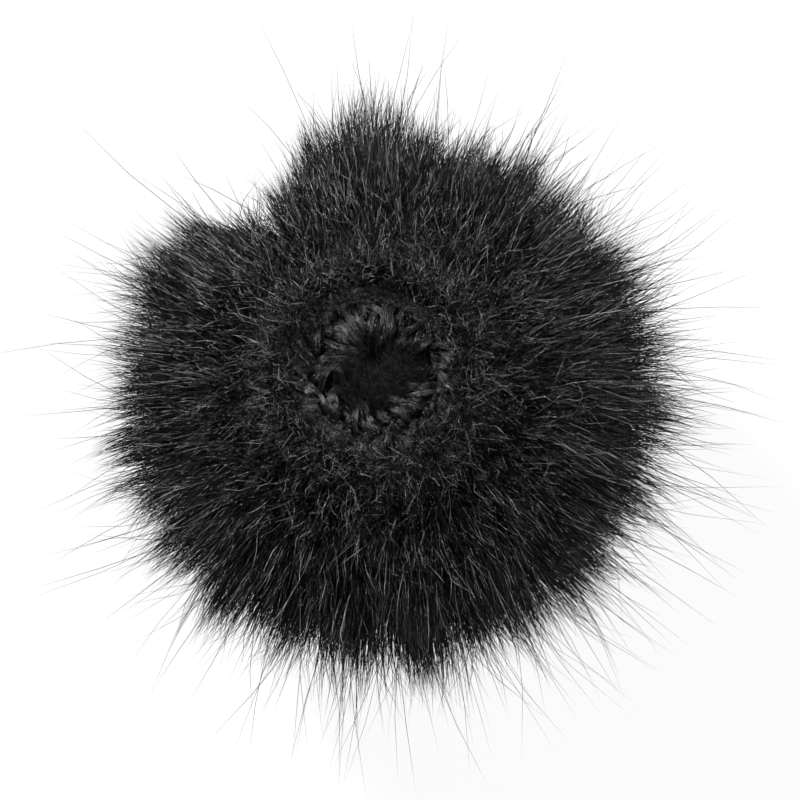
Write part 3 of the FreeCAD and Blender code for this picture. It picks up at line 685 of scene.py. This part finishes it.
along = np.linspace(0, 1, fuzz_points)[None, :, None]
fuzz = -inward[:, None, :] * fuzz_root_reach[:, None, None]
fuzz = fuzz + np.array([0, 0, 1.0]) * fuzz_root_level[:, None, None]
fuzz = fuzz + fuzz_start[:, None, :] * along * fuzz_length[:, None, None]
crimp = rng.normal(0, 0.13, fuzz.shape)
crimp[:, 0] = 0
fuzz = fuzz + crimp
piece = hair_piece(
    "throat_fuzz_pile", fuzz, rng.uniform(0.014, 0.022, fuzz_count), np.array([0.9, 1, 0.9, 0.7, 0]),
    rng.uniform(0, 1, fuzz_count), fuzz_material,
)
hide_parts("throat_fuzz")

# Mouth tufts. The pile is cropped with scissors where the edge turns in: small bundles of wavy hair with
# blunt ends which ring the mouth, their cut ends given painted highlights on the sides turned towards the
# light.
# The ramp's light end is reached only through the painted highlights on the cut ends; glints are painted
# along the hairs as well.
tuft_material = hair_material(
    "cropped_tufts",
    [(0.0, (0.004, 0.004, 0.0042)), (0.3, (0.02, 0.02, 0.0205)), (0.7, (0.07, 0.07, 0.072)),
     (1.0, (0.26, 0.26, 0.265))],
    0.3, 0.4, 0.4, (0.6, 1.4),
)
rng = np.random.default_rng(9)
tuft_count, hairs_in_tuft, stubble_count = 150, 20, 4000
tuft_stops = np.array([0, 0.25, 0.5, 0.75, 1.0])
# Painted highlights on the cut ends, on the sides turned towards the light: direction and width in degrees,
# and how bright.
painted_lit_sides = ((95, 28, 0.85), (-12, 25, 0.95), (-100, 34, 0.55))
tuft_azimuth = 2 * np.pi * (np.arange(tuft_count) + rng.uniform(-0.4, 0.4, tuft_count)) / tuft_count
tuft_reach = throat_reach + 0.6 * rng.uniform(0, 1, tuft_count) ** 1.5
tuft_lines, tuft_shades = [], []
for azimuth_now, reach_now in zip(tuft_azimuth, tuft_reach):
    outward = np.array([math.cos(azimuth_now), math.sin(azimuth_now), 0])
    sideways = np.array([-outward[1], outward[0], 0])
    level = roll_radius * (math.sqrt(max(1 - ((reach_now - roll_ring) / roll_radius) ** 2, 0)) - 1)
    blunt = math.sin(azimuth_now) > 0.45
    lean = rng.uniform(-1.4, -0.2) if blunt else rng.uniform(-1.2, 0.9)
    swirl = rng.normal(0.15, 0.2) if blunt else rng.normal(0.45, 0.25)
    start = normalise((0.2 * lean * outward + np.array([0, 0, 1.0]) - 0.2 * swirl * sideways)[None])[0]
    fall = lean * outward - swirl * sideways
    across = np.cross(start, sideways)
    size = rng.uniform(0.8, 1.3)
    # Painted highlights: each tuft is made lighter the nearer it stands to a lit side.
    painted_facing = max(
        weight * math.exp(-((angle_from(azimuth_now, math.radians(side)) / math.radians(width)) ** 2))
        for side, width, weight in painted_lit_sides
    )
    painted_brightness = (0.16 + 0.62 * painted_facing) * rng.uniform(0.55, 1.05)
    phase = rng.uniform(0, 2 * np.pi)
    wave = 0.07 * np.sin(2 * np.pi * 1.2 * tuft_stops + phase) * tuft_stops ** 0.5
    for hair in range(hairs_in_tuft):
        angle, off = rng.uniform(0, 2 * np.pi), 0.13 * math.sqrt(rng.uniform())
        foot = outward * reach_now + off * (math.cos(angle) * sideways + math.sin(angle) * across)
        share = size * rng.uniform(0.85, 1.05)
        line = foot + share * (np.outer(tuft_stops, start) + np.outer(tuft_stops ** 2, fall))
        line += np.outer(wave, sideways + 0.5 * across) + np.outer(tuft_stops, rng.normal(0, 0.08, 3))
        tuft_lines.append(line + np.array([0, 0, level]))
        tuft_shades.append(min(painted_brightness * rng.uniform(0.1, 1.25), 1))
tufts = np.array(tuft_lines)
stubble_turn = np.radians(rng.uniform(30, 200, stubble_count))
stubble_azimuth = rng.uniform(0, 2 * np.pi, stubble_count)
outward = np.stack([np.cos(stubble_azimuth), np.sin(stubble_azimuth), np.zeros(stubble_count)], 1)
sideways = np.stack([-np.sin(stubble_azimuth), np.cos(stubble_azimuth), np.zeros(stubble_count)], 1)
skin_way = np.cos(stubble_turn)[:, None] * outward + np.sin(stubble_turn)[:, None] * np.array([0, 0, 1.0])
foot = outward * roll_ring + skin_way * 1.05 - np.array([0, 0, roll_radius])
course = normalise(skin_way + rng.normal(0, 0.6, (stubble_count, 3)) - 0.3 * sideways)
reach = rng.uniform(0.4, 0.9, stubble_count)[:, None, None]
stubble = foot[:, None, :] + course[:, None, :] * tuft_stops[None, :, None] * reach
stubble = stubble + rng.normal(0, 0.04, stubble.shape)
tufts = np.concatenate([tufts, stubble])
tuft_shades = np.append(tuft_shades, rng.uniform(0, 1, stubble_count) ** 2 * 0.26)
piece = hair_piece(
    "mouth_tuft_ring", tufts, rng.uniform(0.02, 0.028, len(tufts)),
    np.array([0.9, 1, 1, 0.9, 0]), tuft_shades, tuft_material,
)
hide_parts("mouth_tufts")

# Floor, light and camera. A plain white table, soft light from the upper left, and a camera
# almost straight above the mouth.
bpy.ops.mesh.primitive_plane_add(size=6, location=(0, 0, floor_level * MM))
floor = bpy.context.object
floor.name = "floor"
floor.data.transform(floor.matrix_world)
floor.matrix_world.identity()
floor_material = bpy.data.materials.new("white_table")
floor_material.use_nodes = True
floor_skin = floor_material.node_tree.nodes["Principled BSDF"]
floor_skin.inputs["Base Color"].default_value = (0.053, 0.053, 0.053, 1)
floor_skin.inputs["Roughness"].default_value = 0.9
floor_skin.inputs["Specular IOR Level"].default_value = 0.1
floor_skin.inputs["Emission Color"].default_value = (1, 1, 1, 1)
floor_ray = floor_material.node_tree.nodes.new("ShaderNodeLightPath")
floor_glow = floor_material.node_tree.nodes.new("ShaderNodeMapRange")
floor_glow.inputs["To Min"].default_value = 0.02
floor_glow.inputs["To Max"].default_value = 0.89
floor_material.node_tree.links.new(floor_ray.outputs["Is Camera Ray"], floor_glow.inputs["Value"])
floor_material.node_tree.links.new(floor_glow.outputs["Result"], floor_skin.inputs["Emission Strength"])
floor.data.materials.append(floor_material)

world = bpy.data.worlds.new("studio")
bpy.context.scene.world = world
world.use_nodes = True
sky = world.node_tree.nodes["Background"]
sky.inputs["Color"].default_value = (1, 1, 1, 1)
ray = world.node_tree.nodes.new("ShaderNodeLightPath")
seen = world.node_tree.nodes.new("ShaderNodeMapRange")
seen.inputs["To Min"].default_value = 0.045
seen.inputs["To Max"].default_value = 1.0
world.node_tree.links.new(ray.outputs["Is Camera Ray"], seen.inputs["Value"])
world.node_tree.links.new(seen.outputs["Result"], sky.inputs["Strength"])

bpy.context.scene.view_settings.view_transform = "Standard"


def softbox(name, place, aim, size, watts):
    """A square lamp of the given size at a place, turned towards the aim."""
    lamp = bpy.data.lights.new(name, "AREA")
    lamp.size = size
    lamp.energy = watts
    holder = bpy.data.objects.new(name, lamp)
    bpy.context.scene.collection.objects.link(holder)
    holder.location = place
    holder.rotation_euler = (Vector(aim) - Vector(place)).to_track_quat("-Z", "Y").to_euler()
    return holder


ball_heart = (0, 0, -0.01)
softbox("key_light", (-0.22, 0.27, 0.30), ball_heart, 0.07, 7.6)
softbox("fill_light", (0.34, -0.06, 0.28), ball_heart, 0.08, 3.8)

camera_distance = 0.28
view_width = 0.0426
tilt = math.radians(5.8)
away = Vector((0.55, -0.83, 0)).normalized()
look = (-away * math.sin(tilt) - Vector((0, 0, 1)) * math.cos(tilt)).normalized()
right = look.cross(Vector((0, 1, 0))).normalized()
up = right.cross(look).normalized()
aim = right * 0.00133 - up * 0.0016
lens = bpy.data.cameras.new("camera")
lens.sensor_width = 36
lens.lens = lens.sensor_width * camera_distance / view_width
lens.clip_start = 0.01
camera = bpy.data.objects.new("camera", lens)
bpy.context.scene.collection.objects.link(camera)
camera.matrix_world = Matrix((right, up, -look)).transposed().to_4x4()
camera.location = aim - look * camera_distance
bpy.context.scene.camera = camera
